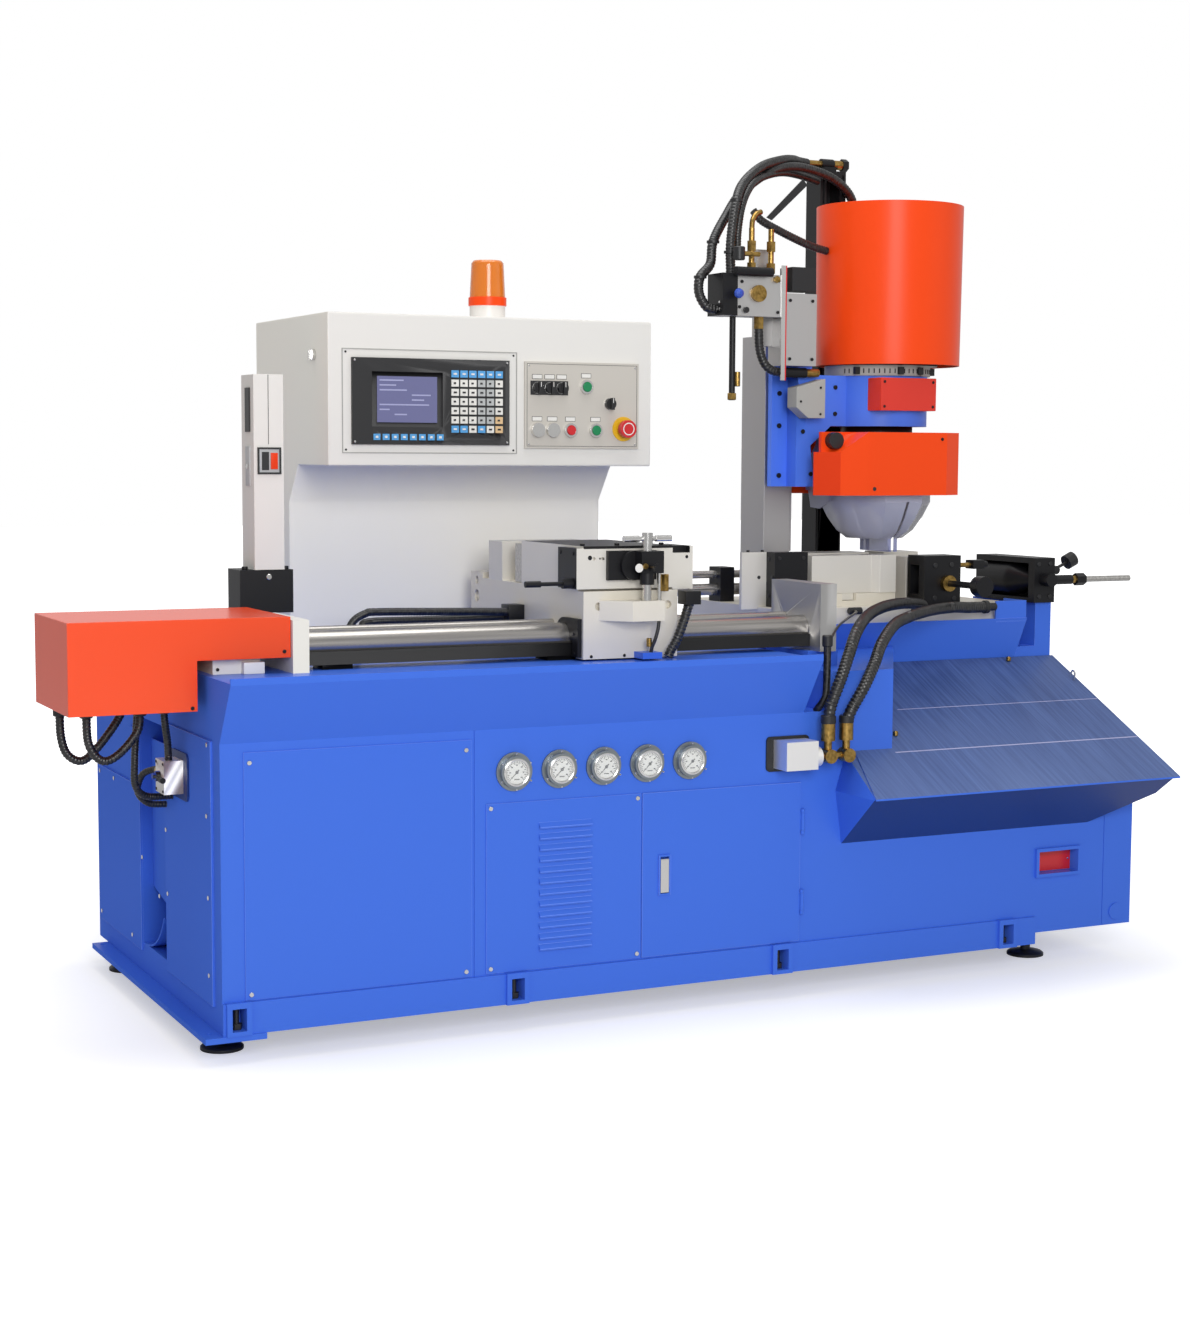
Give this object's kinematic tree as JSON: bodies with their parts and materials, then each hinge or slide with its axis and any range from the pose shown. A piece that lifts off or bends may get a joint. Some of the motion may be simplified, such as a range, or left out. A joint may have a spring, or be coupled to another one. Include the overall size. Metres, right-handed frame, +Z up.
{
  "type": "cnc cold saw",
  "caption": "Floor-standing automatic cold saw with a bar feeder, a clamping vise, a vertical saw head over a blade guard and a control console behind the bed.",
  "frame": {"origin": "middle of the bounding box in X and Y, on the floor under the levelling feet", "axes": "+X along the bar from the feeder to the outfeed, +Y from the operator's side to the back, +Z up"},
  "size_m": [2.798, 1.201, 1.992],
  "materials": {
    "blue_paint": "satin blue machine paint",
    "cream_paint": "satin off-white paint",
    "orange_paint": "gloss orange-red paint",
    "black_steel": "black oxide",
    "grey_metal": "grey paint",
    "chute_steel": "gloss blue paint",
    "ground_steel": "ground",
    "silver_aluminium": "anodised",
    "chrome": "polished",
    "black_plastic": "matt black",
    "blue_plastic": "blue",
    "red_plastic": "red",
    "green_plastic": "green",
    "cream_plastic": "off-white",
    "smoky_plastic": "smoky translucent",
    "amber_lens": "amber translucent",
    "black_rubber": "matt"
  },
  "bodies": {
    "machine": {"base_frame": "blue_paint", "raised_table": "blue_paint", "levelling_feet": "black_steel", "cover_sheets": "blue_paint", "pressure_gauges": "black_plastic", "chute": "chute_steel", "union_block": "grey_metal", "fixed_hoses": "black_rubber", "feed_cover": "blue_paint", "feed_motor": "black_steel", "valve_block": "grey_metal", "feeder_rail": "cream_paint", "guide_shaft": "ground_steel", "bed_plate": "cream_paint", "fixed_jaws": "ground_steel", "clamp_blocks": "black_steel", "column": "silver_aluminium", "mast": "black_steel", "console": "cream_paint", "cnc_unit": "black_plastic", "operator_plate": "silver_aluminium", "beacon_base": "cream_plastic", "beacon_lens": "amber_lens", "post": "cream_paint"},
    "carriage": {"feed_carriage": "cream_paint", "guide_bars": "ground_steel", "feed_vise": "ground_steel", "feed_cylinder": "black_steel", "carriage_hoses": "black_rubber"},
    "saw_head": {"saw_arm": "blue_paint", "saw_motor": "grey_metal", "motor_cover": "orange_paint", "head_boxes": "red_plastic", "manifold": "silver_aluminium", "head_hoses": "black_rubber", "blade_guard": "orange_paint"},
    "service_door_body": {"service_door": "blue_paint"},
    "door_latch_body": {"door_latch": "chrome"},
    "valve_lever_body": {"valve_lever": "blue_plastic"},
    "feed_screw_body": {"feed_screw": "ground_steel"},
    "feed_jaw_body": {"feed_jaw": "ground_steel"},
    "clamp_screw_body": {"clamp_screw": "ground_steel"},
    "clamp_lever_body": {"clamp_lever": "black_plastic"},
    "infeed_jaw_body": {"infeed_jaw": "ground_steel"},
    "outfeed_jaw_body": {"outfeed_jaw": "ground_steel"},
    "clamp_knob_body": {"clamp_knob": "black_plastic"},
    "stalk_knob_body": {"stalk_knob": "black_plastic"},
    "guard_knob_body": {"guard_knob": "black_plastic"},
    "hood_body": {"hood": "smoky_plastic"},
    "saw_blade_body": {"saw_blade": "ground_steel"},
    "emergency_stop_body": {"emergency_stop": "red_plastic"},
    "push_button_1_body": {"push_button_1": "green_plastic"},
    "push_button_2_body": {"push_button_2": "red_plastic"},
    "push_button_3_body": {"push_button_3": "green_plastic"},
    "selector_1_body": {"selector_1": "black_plastic"},
    "selector_2_body": {"selector_2": "black_plastic"},
    "selector_3_body": {"selector_3": "black_plastic"},
    "selector_4_body": {"selector_4": "black_plastic"},
    "key_lock_body": {"key_lock": "chrome"},
    "beacon_mirror_body": {"beacon_mirror": "chrome"}
  },
  "joints": [
    {"name": "carriage_slide", "type": "slide", "parent": "machine", "child": "carriage", "axis": [1, 0, 0], "range_m": [-0.4, 0.3]},
    {"name": "screw_turn", "type": "hinge", "parent": "machine", "child": "feed_screw_body", "pos_m": [-0.519, -0.1995, 0.85], "axis": [1, 0, 0], "range_deg": [-3600, 2700]},
    {"name": "feed_jaw_slide", "type": "slide", "parent": "carriage", "child": "feed_jaw_body", "axis": [0, 1, 0], "range_m": [-0.01, 0.05]},
    {"name": "clamp_screw_turn", "type": "hinge", "parent": "carriage", "child": "clamp_screw_body", "pos_m": [-0.15, -0.3995, 1], "axis": [0, 0, 1], "continuous": true},
    {"name": "clamp_lever_turn", "type": "hinge", "parent": "carriage", "child": "clamp_lever_body", "pos_m": [-0.359, -0.3375, 0.949], "axis": [1, 0, 0], "range_deg": [-60, 60]},
    {"name": "door_swing", "type": "hinge", "parent": "machine", "child": "service_door_body", "pos_m": [0.233, -0.435, 0.312], "axis": [0, 0, 1], "range_deg": [0, 105]},
    {"name": "latch_swing", "type": "hinge", "parent": "service_door_body", "child": "door_latch_body", "pos_m": [-0.12, -0.4335, 0.343], "axis": [-1, 0, 0], "range_deg": [0, 50]},
    {"name": "valve_turn", "type": "hinge", "parent": "machine", "child": "valve_lever_body", "pos_m": [-1.179, -0.1615, 0.556], "axis": [1, 0, 0], "range_deg": [-45, 45]},
    {"name": "infeed_jaw_slide", "type": "slide", "parent": "machine", "child": "infeed_jaw_body", "axis": [0, 1, 0], "range_m": [-0.01, 0.05]},
    {"name": "outfeed_jaw_slide", "type": "slide", "parent": "machine", "child": "outfeed_jaw_body", "axis": [0, 1, 0], "range_m": [-0.01, 0.05]},
    {"name": "clamp_knob_turn", "type": "hinge", "parent": "machine", "child": "clamp_knob_body", "pos_m": [0.843, -0.1795, 0.912], "axis": [0, 1, 0], "continuous": true},
    {"name": "stalk_turn", "type": "hinge", "parent": "machine", "child": "stalk_knob_body", "pos_m": [1.188, -0.0895, 0.938], "axis": [0, 1, 0], "range_deg": [-25, 25]},
    {"name": "saw_head_slide", "type": "slide", "parent": "machine", "child": "saw_head", "axis": [0, 0, -1], "range_m": [0, 0.14]},
    {"name": "hood_slide", "type": "slide", "parent": "saw_head", "child": "hood_body", "axis": [0, 0, 1], "range_m": [0, 0.14]},
    {"name": "blade_spin", "type": "hinge", "parent": "saw_head", "child": "saw_blade_body", "pos_m": [0.743, 0.0505, 1.15], "axis": [1, 0, 0], "continuous": true},
    {"name": "guard_knob_turn", "type": "hinge", "parent": "saw_head", "child": "guard_knob_body", "pos_m": [0.531, -0.0695, 1.264], "axis": [0, 1, 0], "continuous": true},
    {"name": "push_1", "type": "slide", "parent": "machine", "child": "push_button_1_body", "axis": [0, 1, 0], "range_m": [0, 0.004], "stiffness_N_per_m": 200},
    {"name": "push_2", "type": "slide", "parent": "machine", "child": "push_button_2_body", "axis": [0, 1, 0], "range_m": [0, 0.004], "stiffness_N_per_m": 200},
    {"name": "push_3", "type": "slide", "parent": "machine", "child": "push_button_3_body", "axis": [0, 1, 0], "range_m": [0, 0.004], "stiffness_N_per_m": 200},
    {"name": "stop_push", "type": "slide", "parent": "machine", "child": "emergency_stop_body", "axis": [0, 1, 0], "range_m": [0, 0.004], "stiffness_N_per_m": 300},
    {"name": "selector_turn_1", "type": "hinge", "parent": "machine", "child": "selector_1_body", "pos_m": [-0.202, 0.0605, 1.382], "axis": [0, -1, 0], "range_deg": [-45, 45]},
    {"name": "selector_turn_2", "type": "hinge", "parent": "machine", "child": "selector_2_body", "pos_m": [-0.17, 0.0605, 1.382], "axis": [0, -1, 0], "range_deg": [-45, 45]},
    {"name": "selector_turn_3", "type": "hinge", "parent": "machine", "child": "selector_3_body", "pos_m": [-0.139, 0.0605, 1.382], "axis": [0, -1, 0], "range_deg": [-45, 45]},
    {"name": "selector_turn_4", "type": "hinge", "parent": "machine", "child": "selector_4_body", "pos_m": [-0.014, 0.0605, 1.347], "axis": [0, -1, 0], "range_deg": [-45, 45]},
    {"name": "key_turn", "type": "hinge", "parent": "machine", "child": "key_lock_body", "pos_m": [-0.719, 0.1605, 1.45], "axis": [-1, 0, 0], "range_deg": [0, 90]},
    {"name": "mirror_spin", "type": "hinge", "parent": "machine", "child": "beacon_mirror_body", "pos_m": [-0.274, 0.1905, 1.63], "axis": [0, 0, 1], "continuous": true}
  ],
  "couplings": [
    {"joint": "screw_turn", "follows": "carriage_slide", "rad_per_m": 157.08},
    {"joint": "hood_slide", "follows": "saw_head_slide", "ratio": 1}
  ]
}
